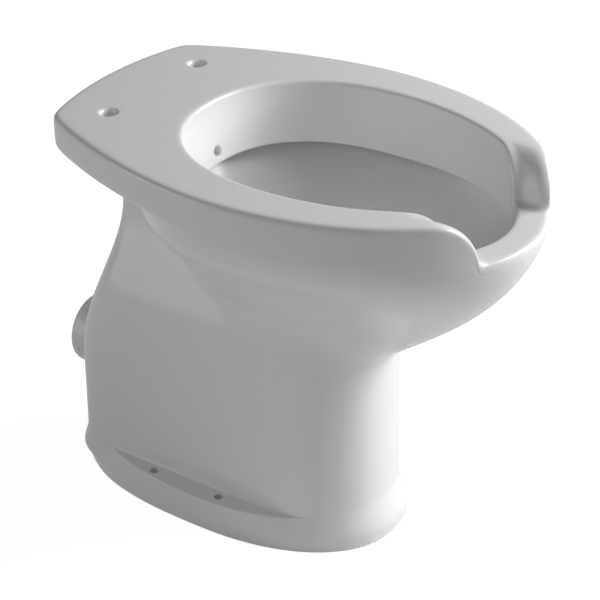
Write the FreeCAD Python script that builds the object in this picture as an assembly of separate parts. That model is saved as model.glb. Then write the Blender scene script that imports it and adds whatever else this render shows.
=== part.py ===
"""Floor-standing toilet pan with an open-front rim for accessible washrooms.

The pan is built as the pottery builds it: the clay castings are separate closed
solids that meet face to face on flat joints.  Millimetres, +Z up, front towards -Y,
origin on the floor below the middle of the pan's length.
"""
import FreeCAD, Part
import math
import os

Vec = FreeCAD.Vector

# Overall sizes
PAN_HEIGHT = 460.0
RIM_WIDTH = 375.0
FRONT_REACH = 287.5
DECK_REACH = 246.0
OUTLET_REACH = 287.5

# Rim and deck outline seen from above
WIDEST_Y = -20.0
DECK_TAPER_LENGTH = 427.0
DECK_TAPER_POWER = 1.8
DECK_REAR_RADIUS = 370.0
DECK_CORNER_ROUND = 15.0
DECK_CORNER_POWER = 44.0

# Bowl opening, and the rim's width beside and in front of it
RIM_SIDE_WIDTH = 54.5
RIM_FRONT_WIDTH = 34.5
OPENING_REAR = 106.0
OPENING_MID = -48.0
OPENING_REAR_POWER = 2.2

# Rim section
RIM_DEPTH = 67.0
DECK_THICKNESS = 38.0
OUTER_ROUND = 11.0
INNER_ROUND = 9.0
DECK_EDGE_ROUND = 6.0
CURTAIN_THICKNESS = 10.0
CURTAIN_LEAN = 13.0
CURTAIN_START = 40.0
CHANNEL_ROOF = 14.0

# Front cut-out: flat lip, tight foot fillet, broad shoulder
LIP_DROP = 50.0
LIP_HALF_WIDTH = 60.0
LIP_FOOT_RADIUS = 12.0
LIP_WALL_ANGLE = 80.0

# Hull below the rim: its front draws in below the lip, its sides below the deck's underside
HULL_SIDE_INSET = 120.0
HULL_SIDE_DEPTH = 109.0
HULL_SIDE_POWER = 2.2
HULL_FRONT_DEPTH = 182.0
HULL_FRONT_POWER = 1.8
HULL_REAR_REACH = 155.0
HULL_REAR_INSET = 75.0
HULL_KEEL_REACH = 70.0

# Pedestal and neck
PEDESTAL_WIDTH = 184.0
PEDESTAL_FRONT = 122.0
PEDESTAL_LEAN = 3.0
PEDESTAL_REAR = 248.5
PEDESTAL_MID = 65.5
PEDESTAL_FRONT_POWER = 2.25
PEDESTAL_REAR_POWER = 3.8
NECK_WIDTH = 120.0
NECK_REAR = 196.0
NECK_TOP = 345.0
NECK_FOOT = 225.0
NECK_REAR_FOOT = 150.0
NECK_REAR_POWER = 2.6

# Foot: its line on the floor, and the line of the fixing ledges' edge
FOOT_WIDTH = 234.5
FOOT_FRONT = 136.2
FOOT_REAR = 257.5
FOOT_MID = 51.4
FOOT_FRONT_POWER = 2.2
FOOT_REAR_POWER = 2.67
LEDGE_HEIGHT = 40.0
LEDGE_FRONT = 116.0
LEDGE_REAR = 244.0
LEDGE_FRONT_POWER = 2.0
LEDGE_REAR_POWER = 2.28
LEDGE_STEP = 2.5
LEDGE_ROUND = 3.0

# Flare of the pedestal into the foot, and the heel that bulges and tucks in at the rear
SKIRT_TOP = 52.0
SKIRT_FOOT = 10.0
HEEL_HEIGHT = 20.0
HEEL_FLARE = 8.0
HEEL_TUCK = 11.0

# Holes
SEAT_HOLE_SPACING = 155.0
SEAT_HOLE_Y = 180.5
SEAT_HOLE_DIAMETER = 16.0
SEAT_FLARE = 5.0
FLOOR_HOLE_SPACING_X = 204.0
FLOOR_HOLE_SPACING_Y = 90.5
FLOOR_HOLE_MID_Y = 74.75
FLOOR_HOLE_DIAMETER = 10.0
JET_HOLE_DIAMETER = 10.5
JET_HOLE_DROP = 54.0

# Walls and clearances
BODY_WALL = 11.0
BASIN_WALL = 9.0
TRAP_WALL = 9.0
JOINT_GAP = 0.5
BASIN_GAP = 2.0

# Bowl basin: how fast its wall falls in at the sides, front and rear
BASIN_POWER = 2.8
BASIN_FRONT_FULLNESS = 0.5
BASIN_REAR_POWER = 1.2
BASIN_REAR_FOCUS = 8.0

# Trap
TRAP_BORE = 66.0
TRAP_BEND_RADIUS = 50.0
WEIR_BEND_RADIUS = 48.0
TRAP_RISE_ANGLE = 60.0
TRAP_FALL_ANGLE = 70.0
THROAT_HEIGHT = 148.0
WATER_SEAL = 50.0
OUTLET_HEIGHT = 125.0
SPIGOT_SET_IN = 14.5
SPIGOT_COLLAR = 2.0
SPIGOT_COLLAR_PROUD = 3.5

# Flush supply
FLUSH_BORE = 55.0
FLUSH_WALL = 6.0
FLUSH_DROP = 48.4
FLUSH_PROUD = 8.0
FLUSH_STOP = 3.0
FLUSH_STOP_STEP = 3.5
CHAMBER_WIDTH = 84.0
CHAMBER_DEPTH = 40.0
CHAMBER_HEIGHT = 92.0
CHAMBER_WALL = 6.0
CHAMBER_ROUND = 12.0
PORT_HEIGHT = 20.0

# Levels and radii worked out from the sizes above
RIM_JOINT = PAN_HEIGHT - RIM_DEPTH
DECK_UNDERSIDE = PAN_HEIGHT - DECK_THICKNESS
HALF_RIM = RIM_WIDTH / 2
HALF_OPENING = HALF_RIM - RIM_SIDE_WIDTH
OPENING_FRONT = FRONT_REACH - RIM_FRONT_WIDTH
HULL_FRONT_INSET = FRONT_REACH - PEDESTAL_FRONT
FLUSH_HEIGHT = RIM_JOINT - FLUSH_DROP
FLUSH_MOUTH_RADIUS = FLUSH_BORE / 2 - FLUSH_STOP_STEP
COLLAR_RADIUS = TRAP_BORE / 2 + TRAP_WALL + SPIGOT_COLLAR
COLLAR_END_Y = PEDESTAL_REAR + SPIGOT_COLLAR_PROUD
SPIGOT_ROOT_Y = PEDESTAL_REAR - SPIGOT_SET_IN
BORE_RADIUS = TRAP_BORE / 2
TRAP_RADIUS = BORE_RADIUS + TRAP_WALL
LIP_TOP = PAN_HEIGHT - LIP_DROP
LIP_STEEP = math.radians(LIP_WALL_ANGLE)
LIP_SHOULDER_RADIUS = LIP_DROP / (1 - math.cos(LIP_STEEP)) - LIP_FOOT_RADIUS
LIP_SIDE_WIDTH = (LIP_FOOT_RADIUS + LIP_SHOULDER_RADIUS) * math.sin(LIP_STEEP)

# Softness of blended corners, and the point that outlines are drawn around
BLEND_POWER = 16.0
FLAT_POWER = 16.0
FOOT_BLEND_POWER = 40.0
BODY_CENTRE_Y = 40.0
LIP_CENTRE_RADIUS = FRONT_REACH + BODY_CENTRE_Y - (FRONT_REACH - OPENING_FRONT) / 2


def smoothstep(low, high, value):
    """Go from 0 at low to 1 at high with level ends."""
    share = min(1.0, max(0.0, (value - low) / (high - low)))
    return share * share * (3 - 2 * share)


def oval(x, y, half_width, front, rear, mid, front_power=2.0, rear_power=2.0):
    """Gauge of an egg-like oval: below 1 inside, 1 on its line."""
    forward = y < mid
    power = front_power if forward else rear_power
    reach = mid - front if forward else rear - mid
    return (abs(x / half_width) ** power + abs((y - mid) / reach) ** power) ** (1 / power)


def meet(power, *gauges):
    """Common area of shapes, with softened corners."""
    return sum(gauge ** power for gauge in gauges) ** (1 / power)


def join(power, *gauges):
    """Union of shapes, with filleted inner corners."""
    return sum(max(gauge, 1e-6) ** -power for gauge in gauges) ** (-1 / power)


def deck_half_width(y):
    """Half the deck's width behind the rim's widest place."""
    return HALF_RIM * max(0.1, 1 - ((y - WIDEST_Y) / DECK_TAPER_LENGTH) ** DECK_TAPER_POWER)


def deck_gauge(x, y):
    """Outline of the rim and deck at full width: round front, tapering sides, curved rear."""
    if y < WIDEST_Y:
        return oval(x, y, HALF_RIM, -FRONT_REACH, DECK_REACH, WIDEST_Y)
    rear = math.hypot(x, y - DECK_REACH + DECK_REAR_RADIUS) / DECK_REAR_RADIUS
    return meet(DECK_CORNER_POWER, abs(x) / deck_half_width(y), rear)


def opening_gauge(x, y, height):
    """Outline of the bowl opening at the top of the rim."""
    return oval(x, y, HALF_OPENING, -OPENING_FRONT, OPENING_REAR, OPENING_MID,
                rear_power=OPENING_REAR_POWER)


def column_gauge(x, y, height, wall=0.0):
    """Outline of the flat-sided pedestal, its flare below and its neck above, drawn in by wall."""
    skirt = smoothstep(SKIRT_TOP, SKIRT_FOOT, height)
    heel = smoothstep(SKIRT_TOP, HEEL_HEIGHT, height)
    neck = smoothstep(NECK_FOOT, NECK_TOP, height)
    neck_rear = smoothstep(NECK_REAR_FOOT, NECK_TOP, height)
    shin = PEDESTAL_FRONT + PEDESTAL_LEAN * (1 - smoothstep(SKIRT_TOP, NECK_REAR_FOOT, height))
    front = shin + (FOOT_FRONT - shin) * skirt
    rear = PEDESTAL_REAR + HEEL_FLARE * heel + (NECK_REAR - PEDESTAL_REAR) * neck_rear
    rear_power = PEDESTAL_REAR_POWER + (NECK_REAR_POWER - PEDESTAL_REAR_POWER) * neck_rear
    inward = wall + HEEL_TUCK * smoothstep(HEEL_HEIGHT, 0, height)
    half_oval = FOOT_WIDTH / 2 - LEDGE_STEP - inward
    half_flat = (PEDESTAL_WIDTH + (NECK_WIDTH - PEDESTAL_WIDTH) * neck) / 2 - inward
    body = oval(x, y, half_oval, inward - front, rear - inward, PEDESTAL_MID,
                PEDESTAL_FRONT_POWER, rear_power)
    return meet(FLAT_POWER, body, abs(x) / half_flat)


def foot_gauge(x, y, height):
    """Outline of the foot: the pedestal's flare and the oval that carries the fixing ledges."""
    skirt = smoothstep(SKIRT_TOP, SKIRT_FOOT, height)
    edge = max(0.0, height - LEDGE_HEIGHT + LEDGE_ROUND) / LEDGE_ROUND
    half = FOOT_WIDTH / 2 - LEDGE_ROUND * edge * edge / 2
    front = LEDGE_FRONT + (FOOT_FRONT - LEDGE_FRONT) * skirt
    rear = LEDGE_REAR + (FOOT_REAR - LEDGE_REAR) * skirt
    ledges = oval(x, y, half, -front, rear, FOOT_MID,
                  LEDGE_FRONT_POWER + (FOOT_FRONT_POWER - LEDGE_FRONT_POWER) * skirt,
                  LEDGE_REAR_POWER + (FOOT_REAR_POWER - LEDGE_REAR_POWER) * skirt)
    return join(FOOT_BLEND_POWER, ledges, column_gauge(x, y, height))


def hull_gauge(x, y, height, wall=0.0):
    """Outline of the bowl's hull, drawn in by wall; None well below its keel."""
    drop = max(0.0, DECK_UNDERSIDE - height)
    front_drop = max(0.0, LIP_TOP - height)
    draw_in = 1 - math.exp(-(drop / HULL_SIDE_DEPTH) ** HULL_SIDE_POWER)
    half = HALF_RIM - HULL_SIDE_INSET * draw_in - wall
    front = FRONT_REACH - HULL_FRONT_INSET * (front_drop / HULL_FRONT_DEPTH) ** HULL_FRONT_POWER - wall
    rear = HULL_REAR_REACH - HULL_REAR_INSET * draw_in - wall
    if front < HULL_KEEL_REACH:
        return None
    return oval(x, y, half, -front, rear, WIDEST_Y)


def body_gauge(x, y, height):
    """Outline of the outer body: bowl hull, neck and pedestal in one skin."""
    column = column_gauge(x, y, height)
    hull = hull_gauge(x, y, height)
    return column if hull is None else join(BLEND_POWER, column, hull)


def cavity_gauge(x, y, height):
    """Outline of the hollow inside the outer body."""
    column = column_gauge(x, y, height, BODY_WALL)
    hull = hull_gauge(x, y, height, BODY_WALL)
    return column if hull is None else join(BLEND_POWER, column, hull)


def rim_gauge(x, y, height):
    """Outline of the rim's outer face: deck edge above, hull where the front is cut down."""
    if height >= DECK_UNDERSIDE:
        return deck_gauge(x, y)
    return hull_gauge(x, y, height)


def trace(gauge, centre_y, angles, height):
    """Points of an outline, one per angle from the front, found along rays."""
    heights = height if isinstance(height, list) else [height] * len(angles)
    points = []
    for angle, level in zip(angles, heights):
        across = math.sin(angle)
        along = -math.cos(angle)
        near = 0.0
        far = FRONT_REACH + DECK_REACH
        for _ in range(48):
            reach = (near + far) / 2
            if gauge(reach * across, centre_y + reach * along, level) < 1:
                near = reach
            else:
                far = reach
        points.append((near * across, centre_y + near * along))
    return points


def inset(points, distance):
    """Points moved inwards, square to their own outline; distance may vary by point."""
    steps = distance if isinstance(distance, list) else [distance] * len(points)
    count = len(points)
    moved = []
    for index, (x, y) in enumerate(points):
        before = points[index - 1]
        after = points[(index + 1) % count]
        along_x = after[0] - before[0]
        along_y = after[1] - before[1]
        size = math.hypot(along_x, along_y)
        moved.append((x - steps[index] * along_y / size, y + steps[index] * along_x / size))
    return moved


def between(first, second, share):
    """Points part of the way from one outline to another; share may vary by point."""
    shares = share if isinstance(share, list) else [share] * len(first)
    return [(a[0] + (b[0] - a[0]) * part, a[1] + (b[1] - a[1]) * part)
            for a, b, part in zip(first, second, shares)]


def raised(points, height):
    """Outline points lifted to a height, which may vary by point."""
    heights = height if isinstance(height, list) else [height] * len(points)
    return [Vec(x, y, z) for (x, y), z in zip(points, heights)]


def skin(rows, angles, square=False):
    """Smooth surface, closed all round, lofted over rows of points.

    With square, every row crosses the front square to the middle plane.
    """
    knots = angles + [angles[0] + 2 * math.pi]
    across = [Vec(1, 0, 0)] * len(angles)
    at_front = [square] + [False] * (len(angles) - 1)
    poles = []
    for row in rows:
        line = Part.BSplineCurve()
        line.interpolate(Points=row, PeriodicFlag=True, Parameters=knots,
                         Tangents=across, TangentFlags=at_front)
        poles.append(line.getPoles())
    net = [list(column) for column in zip(*poles)]
    spans = len(rows) - 3
    rise_knots = [float(knot) for knot in range(spans + 1)]
    rise_mults = [4] + [1] * (spans - 1) + [4]
    surface = Part.BSplineSurface()
    surface.buildFromPolesMultsKnots(net, line.getMultiplicities(), rise_mults,
                                     line.getKnots(), rise_knots, True, False, 3, 3)
    return surface.toShape()


def end_edges(face):
    """The closed edges at a skin's first and last row."""
    return [edge for edge in face.Edges if edge.isClosed() and not edge.isSeam(face)]


def flat_ring(outer, inner):
    """Flat face between two closed edges in one plane."""
    return Part.Face(Part.Wire([outer])).cut(Part.Face(Part.Wire([inner]))).Faces[0]


def closed_solid(faces):
    """Solid inside a set of faces that meet along their edges."""
    shell = Part.makeShell(faces)
    shell.sewShape()
    solid = Part.makeSolid(shell)
    if solid.Volume < 0:
        solid.reverse()
    return solid


def wall_solid(outer, inner):
    """Solid wall between an outer and an inner skin that share their end planes."""
    rings = [flat_ring(a, b) for a, b in zip(end_edges(outer), end_edges(inner))]
    return closed_solid([outer, inner] + rings)


def both_sides(half_angles):
    """Angles for the whole outline from those of its right half, front to rear."""
    return half_angles + [2 * math.pi - angle for angle in reversed(half_angles[1:-1])]


def even_angles(count):
    """Evenly spaced angles round an outline."""
    return [2 * math.pi * index / count for index in range(count)]


def lip_arcs():
    """Distances along the rim, from the lip's end, that draw the cut-out's two arcs."""
    foot = [LIP_FOOT_RADIUS * math.sin(LIP_STEEP * step / 4) for step in range(5)]
    shoulder = [LIP_SIDE_WIDTH - LIP_SHOULDER_RADIUS * math.sin(LIP_STEEP * (1 - step / 6))
                for step in range(1, 7)]
    level = [LIP_SIDE_WIDTH + LIP_FOOT_RADIUS * step for step in (0.8, 2.0)]
    return foot + shoulder + level


def lip_drop(angle):
    """How far the rim's top is cut down at an angle from the front."""
    distance = min(angle, 2 * math.pi - angle) * LIP_CENTRE_RADIUS - LIP_HALF_WIDTH
    if distance <= 0:
        return LIP_DROP
    if distance >= LIP_SIDE_WIDTH:
        return 0.0
    if distance <= LIP_FOOT_RADIUS * math.sin(LIP_STEEP):
        return LIP_DROP - LIP_FOOT_RADIUS + math.sqrt(LIP_FOOT_RADIUS ** 2 - distance ** 2)
    return LIP_SHOULDER_RADIUS - math.sqrt(LIP_SHOULDER_RADIUS ** 2 - (LIP_SIDE_WIDTH - distance) ** 2)


def rim_angles():
    """Angles of the rim's lengthwise lines: close at the cut-out and at the deck's corners."""
    lip_end = LIP_HALF_WIDTH / LIP_CENTRE_RADIUS
    lip = [0.0, 0.4 * lip_end, 0.75 * lip_end]
    arcs = [lip_end + distance / LIP_CENTRE_RADIUS for distance in lip_arcs()]
    corner_y = DECK_REACH - DECK_CORNER_ROUND
    corner = math.pi - math.atan2(deck_half_width(corner_y), corner_y - BODY_CENTRE_Y)
    turn = DECK_CORNER_ROUND / deck_half_width(corner_y)
    bend = [corner + turn * share for share in (-1.0, -0.55, -0.25, 0.0, 0.25, 0.55, 1.0)]
    sides = [arcs[-1] + (bend[0] - arcs[-1]) * step / 12 for step in range(1, 12)]
    rear = [bend[-1] + (math.pi - bend[-1]) * step / 5 for step in range(1, 6)]
    return both_sides(lip + arcs + sides + bend + rear)


def body_angles():
    """Angles of the body's lengthwise lines: close at the neck's corners."""
    neck_start = math.radians(120)
    sides = [neck_start * step / 12 for step in range(12)]
    neck = [neck_start + (math.pi - neck_start) * step / 10 for step in range(11)]
    return both_sides(sides + neck)


def front_share(angles, start, end):
    """1 at the front, falling to 0 between two angles from the front, in degrees."""
    return [1 - smoothstep(start, end, math.degrees(min(angle, 2 * math.pi - angle)))
            for angle in angles]


def opening_lines(angles):
    """Top and foot outlines of the curtain's face inside the rim."""
    top = trace(opening_gauge, BODY_CENTRE_Y, angles, PAN_HEIGHT)
    lean = [CURTAIN_LEAN * (1 - share) for share in front_share(angles, 15, 60)]
    return top, inset(top, lean)


def rim_rows(angles):
    """Rows of the rim's skin: up the outside, over the top and down the curtain's face."""
    tops = [PAN_HEIGHT - lip_drop(angle) for angle in angles]
    wall_top = PAN_HEIGHT - OUTER_ROUND

    def lowered(height):
        share = (height - RIM_JOINT) / (wall_top - RIM_JOINT)
        return [RIM_JOINT + (top - OUTER_ROUND - RIM_JOINT) * share for top in tops]

    def body_line(height):
        return trace(body_gauge, BODY_CENTRE_Y, angles, lowered(height))

    def deck_line(height):
        return trace(rim_gauge, BODY_CENTRE_Y, angles, height)

    def below_top(distance):
        return [top - distance for top in tops]

    rows = [raised(body_line(height), lowered(height))
            for height in (RIM_JOINT, RIM_JOINT + 2, RIM_JOINT + 9, DECK_UNDERSIDE - 12)]

    # The deck's underside, which runs out from the neck to the deck's rounded lower edge
    root = body_line(DECK_UNDERSIDE - 6)
    edge = deck_line(lowered(DECK_UNDERSIDE))
    overhang = [math.hypot(a[0] - b[0], a[1] - b[1]) for a, b in zip(root, edge)]
    hang = [smoothstep(0, 4 * DECK_EDGE_ROUND, width) for width in overhang]
    for step, (share, rise) in enumerate(((0.0, -4.0), (0.12, -0.5), (0.5, 0.0), (1.0, 0.0))):
        plain = lowered(DECK_UNDERSIDE - 6 + 2 * step)
        line = between(root, inset(edge, [DECK_EDGE_ROUND * part for part in hang]), share)
        under = [level + (DECK_UNDERSIDE + rise - level) * part for level, part in zip(plain, hang)]
        rows.append(raised(line, under))
    for share, rise in ((0.25, 0.25), (0.0, 1.0)):
        height = lowered(DECK_UNDERSIDE + rise * DECK_EDGE_ROUND)
        rows.append(raised(inset(edge, [DECK_EDGE_ROUND * share * part for part in hang]), height))

    # The deck's upright edge, its rounded top, and the flat top of the rim
    rows.append(raised(deck_line(lowered(wall_top - 8)), lowered(wall_top - 8)))
    rows.append(raised(deck_line(below_top(OUTER_ROUND)), below_top(OUTER_ROUND)))
    crest = deck_line(below_top(OUTER_ROUND / 2))
    rows.append(raised(crest, below_top(0.3 * OUTER_ROUND)))
    rows.append(raised(inset(crest, 0.3 * OUTER_ROUND), tops))
    top, foot = opening_lines(angles)
    outer_flat = inset(crest, OUTER_ROUND)
    inner_flat = inset(top, -INNER_ROUND)
    for share in (0.0, 0.5, 1.0):
        rows.append(raised(between(outer_flat, inner_flat, share), tops))

    # The rounded inner edge and the curtain's face
    rows.append(raised(inset(top, -0.3 * INNER_ROUND), tops))
    rows.append(raised(top, below_top(0.3 * INNER_ROUND)))
    for share in (0.0, 0.35, 0.7, 1.0):
        height = [level - (level - RIM_JOINT) * share for level in below_top(INNER_ROUND)]
        rows.append(raised(between(top, foot, share), height))
    return rows


def channel_lines(angles):
    """Inner and outer outlines of the flush channel, at the rim's joint and at its roof."""
    top, foot = opening_lines(angles)
    wall = BODY_WALL + BASIN_GAP + BASIN_WALL
    outer = inset(trace(hull_gauge, BODY_CENTRE_Y, angles, RIM_JOINT), wall)
    return inset(foot, -CURTAIN_THICKNESS), inset(top, -CURTAIN_THICKNESS), outer


def flush_channel():
    """Space of the open channel that runs round inside the rim, clear of the cut-out."""
    count = 28
    start = math.radians(CURTAIN_START)
    turn = 2 * (math.pi - start) / count
    angles = [start + turn * step for step in range(-1, count + 2)]
    low_inner, high_inner, outer = channel_lines(angles)
    roof = PAN_HEIGHT - CHANNEL_ROOF
    floor = RIM_JOINT - 1
    corners = [raised(line[1:-1], height) for line, height in
               ((low_inner, floor), (outer, floor), (outer, roof), (high_inner, roof))]
    lines = []
    for points in corners:
        line = Part.BSplineCurve()
        line.interpolate(points)
        lines.append(line.toShape())
    faces = [Part.makeRuledSurface(lines[side - 1], lines[side]) for side in range(4)]
    for end in (0, -1):
        low_in, low_out, high_out, high_in = [points[end] for points in corners]
        faces.append(Part.makeRuledSurface(Part.makeLine(low_in, low_out), Part.makeLine(high_in, high_out)))
    return closed_solid(faces)


def seat_hole(x):
    """Cutter for a seat-hinge hole with its flared mouth."""
    radius = SEAT_HOLE_DIAMETER / 2
    flare_top = PAN_HEIGHT + 1
    low = DECK_UNDERSIDE - 1
    turn = math.sqrt(0.5)
    arc = Part.Arc(Vec(radius, 0, PAN_HEIGHT - SEAT_FLARE),
                   Vec(radius + SEAT_FLARE * (1 - turn), 0, PAN_HEIGHT - SEAT_FLARE * (1 - turn)),
                   Vec(radius + SEAT_FLARE, 0, PAN_HEIGHT)).toShape()
    line = Part.makePolygon([Vec(radius + SEAT_FLARE, 0, PAN_HEIGHT), Vec(radius + SEAT_FLARE, 0, flare_top),
                             Vec(0, 0, flare_top), Vec(0, 0, low), Vec(radius, 0, low),
                             Vec(radius, 0, PAN_HEIGHT - SEAT_FLARE)])
    cutter = Part.Face(Part.Wire([arc] + line.Edges)).revolve(Vec(0, 0, 0), Vec(0, 0, 1), 360)
    cutter.translate(Vec(x, SEAT_HOLE_Y, 0))
    return cutter


def jet_hole():
    """Cutter for the jet hole, square to the curtain's leaning rear wall."""
    face_drop = RIM_DEPTH - INNER_ROUND
    lean = CURTAIN_LEAN / face_drop
    face_y = OPENING_REAR - lean * (JET_HOLE_DROP - INNER_ROUND)
    inward = Vec(0, 1, -lean).normalize()
    start = Vec(0, face_y, PAN_HEIGHT - JET_HOLE_DROP) - inward * CURTAIN_LEAN
    return Part.makeCylinder(JET_HOLE_DIAMETER / 2, CURTAIN_LEAN + 1.5 * CURTAIN_THICKNESS, start, inward)


def chamber_front():
    """Front face of the flush chamber, just behind the basin's rear edge."""
    rear = trace(hull_gauge, BODY_CENTRE_Y, [math.pi], RIM_JOINT)[0][1]
    return rear - BODY_WALL


def rim_and_deck():
    """Rim with its curtain, flush channel, deck, seat-hinge holes and jet hole."""
    angles = rim_angles()
    face = skin(rim_rows(angles), angles)
    outer, inner = end_edges(face)
    rim = closed_solid([face, flat_ring(outer, inner)])
    port_width = CHAMBER_WIDTH - 2 * CHAMBER_WALL
    port_front = OPENING_REAR
    port_rear = chamber_front() + CHAMBER_DEPTH - CHAMBER_WALL
    port = Part.makeBox(port_width, port_rear - port_front, PORT_HEIGHT + 1,
                        Vec(-port_width / 2, port_front, RIM_JOINT - 1))
    holes = [seat_hole(side * SEAT_HOLE_SPACING / 2) for side in (-1, 1)]
    return rim.cut([flush_channel(), port, jet_hole()] + holes)


def body_heights():
    """Heights of the outer body's rows, close at the ledge and the rim joint."""
    skirt = [LEDGE_HEIGHT + (SKIRT_TOP - LEDGE_HEIGHT) * step / 2 for step in range(3)]
    keel = LIP_TOP - HULL_FRONT_DEPTH - BODY_WALL
    shaft = [SKIRT_TOP + (keel - SKIRT_TOP) * step / 5 for step in range(1, 5)]
    last = RIM_JOINT - 2
    hull = [keel + (last - keel) * step / 12 for step in range(13)]
    return skirt + shaft + hull + [RIM_JOINT]


def body_shell():
    """Outer body from the ledge to the rim: pedestal, neck and bowl hull."""
    angles = body_angles()
    heights = body_heights()
    outer = skin([raised(trace(body_gauge, BODY_CENTRE_Y, angles, z), z) for z in heights], angles, True)
    inner = skin([raised(trace(cavity_gauge, BODY_CENTRE_Y, angles, z), z) for z in heights], angles, True)
    shell = wall_solid(outer, inner)
    spigot_hole = Part.makeCylinder(COLLAR_RADIUS + JOINT_GAP, OUTLET_REACH,
                                    Vec(0, SPIGOT_ROOT_Y - TRAP_RADIUS, OUTLET_HEIGHT), Vec(0, 1, 0))
    inlet_start = chamber_front() + CHAMBER_DEPTH
    inlet_hole = Part.makeCylinder(FLUSH_BORE / 2 + FLUSH_WALL + JOINT_GAP, DECK_REACH - inlet_start,
                                   Vec(0, inlet_start, FLUSH_HEIGHT), Vec(0, 1, 0))
    return shell.cut([spigot_hole, inlet_hole])


def foot_ring():
    """Foot with a fixing ledge each side and its four floor-screw holes."""
    angles = even_angles(48)
    heights = [LEDGE_HEIGHT * step / 6 for step in range(6)]
    heights += [LEDGE_HEIGHT - LEDGE_ROUND, LEDGE_HEIGHT - LEDGE_ROUND / 3, LEDGE_HEIGHT]
    hollow = trace(cavity_gauge, FOOT_MID, angles, LEDGE_HEIGHT)
    outer = skin([raised(trace(foot_gauge, FOOT_MID, angles, z), z) for z in heights], angles)
    inner = skin([raised(hollow, z) for z in heights], angles)
    holes = []
    for side_x in (-1, 1):
        for side_y in (-1, 1):
            place = Vec(side_x * FLOOR_HOLE_SPACING_X / 2,
                        FLOOR_HOLE_MID_Y + side_y * FLOOR_HOLE_SPACING_Y / 2, -1)
            holes.append(Part.makeCylinder(FLOOR_HOLE_DIAMETER / 2, LEDGE_HEIGHT + 2, place))
    return wall_solid(outer, inner).cut(holes)


def trap_line():
    """Throat centre, foot and head of the rising leg, head and foot of the falling leg."""
    rise = math.radians(TRAP_RISE_ANGLE)
    fall = math.radians(TRAP_FALL_ANGLE)
    water = THROAT_HEIGHT - TRAP_BEND_RADIUS + BORE_RADIUS + WATER_SEAL
    crown_height = water + BORE_RADIUS
    foot_height = THROAT_HEIGHT - TRAP_BEND_RADIUS * math.cos(rise)
    head_height = crown_height - WEIR_BEND_RADIUS * (1 - math.cos(rise))
    leg = (head_height - foot_height) / math.sin(rise)
    bend_drop = WEIR_BEND_RADIUS * (1 - math.cos(fall))
    drop = (crown_height - OUTLET_HEIGHT - 2 * bend_drop) / math.sin(fall)
    run = TRAP_BEND_RADIUS * (1 + math.sin(rise)) + leg * math.cos(rise)
    run += WEIR_BEND_RADIUS * math.sin(rise) + 2 * WEIR_BEND_RADIUS * math.sin(fall) + drop * math.cos(fall)
    return SPIGOT_ROOT_Y - run, leg, drop


def pipe_face(place, heading):
    """Ring-shaped end of the trapway, square to its heading."""
    return flat_ring(Part.makeCircle(TRAP_RADIUS, place, heading),
                     Part.makeCircle(BORE_RADIUS, place, heading))


class TrapRun:
    """Trapway in the middle plane, grown from its throat one stretch at a time."""

    def __init__(self, place, climb):
        self.place = place
        self.climb = climb
        self.pieces = []

    def heading(self):
        return Vec(0, math.cos(self.climb), math.sin(self.climb))

    def bend(self, radius, degrees):
        turn = math.radians(degrees)
        side = Vec(0, -math.sin(self.climb), math.cos(self.climb)) * math.copysign(radius, turn)
        centre = self.place + side
        face = pipe_face(self.place, self.heading())
        self.pieces.append(face.revolve(centre, Vec(1, 0, 0), degrees))
        self.climb += turn
        self.place = centre - Vec(0, -math.sin(self.climb), math.cos(self.climb)) * math.copysign(radius, turn)

    def straight(self, length):
        self.pieces.append(pipe_face(self.place, self.heading()).extrude(self.heading() * length))
        self.place = self.place + self.heading() * length

    def taken(self):
        """One solid of the stretches since the last casting."""
        solid = self.pieces[0].multiFuse(self.pieces[1:]) if len(self.pieces) > 1 else self.pieces[0]
        self.pieces = []
        return solid.removeSplitter()


def trapway():
    """Inlet bend with its rising leg, weir bend with its fall, and the outlet spigot."""
    throat_y, leg, drop = trap_line()
    run = TrapRun(Vec(0, throat_y, THROAT_HEIGHT), -math.pi / 2)
    run.bend(TRAP_BEND_RADIUS, 90 + TRAP_RISE_ANGLE)
    run.straight(leg)
    inlet_bend = run.taken()
    run.bend(WEIR_BEND_RADIUS, -TRAP_RISE_ANGLE - TRAP_FALL_ANGLE)
    run.straight(drop)
    run.bend(WEIR_BEND_RADIUS, TRAP_FALL_ANGLE)
    weir_bend = run.taken()
    run.straight(OUTLET_REACH - SPIGOT_ROOT_Y)
    collar = Part.makeCylinder(COLLAR_RADIUS, COLLAR_END_Y - SPIGOT_ROOT_Y,
                               Vec(0, SPIGOT_ROOT_Y, OUTLET_HEIGHT), Vec(0, 1, 0))
    bore = Part.makeCylinder(BORE_RADIUS, OUTLET_REACH, Vec(0, SPIGOT_ROOT_Y, OUTLET_HEIGHT), Vec(0, 1, 0))
    spigot = run.taken().fuse(collar.cut(bore)).removeSplitter()
    return inlet_bend, weir_bend, spigot


def basin_line(angles, depth_share, wall):
    """Outline of the basin part of the way down, drawn out by wall."""
    throat_y = trap_line()[0]
    wide = inset(trace(hull_gauge, OPENING_MID, angles, RIM_JOINT), BODY_WALL + BASIN_GAP + BASIN_WALL)
    mouth = trace(opening_gauge, OPENING_MID, angles, RIM_JOINT)
    top = between(wide, mouth, front_share(angles, 25, 75))
    reach = BORE_RADIUS
    throat = [(reach * math.sin(angle), throat_y - reach * math.cos(angle)) for angle in angles]
    shares = []
    for angle in angles:
        front = max(0.0, math.cos(angle)) ** 1.5
        rear = max(0.0, -math.cos(angle)) ** BASIN_REAR_FOCUS
        power = BASIN_POWER + (BASIN_REAR_POWER - BASIN_POWER) * rear
        shares.append((1 - depth_share ** (1 + BASIN_FRONT_FULLNESS * front)) ** power)
    return inset(between(throat, top, shares), -wall)


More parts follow.
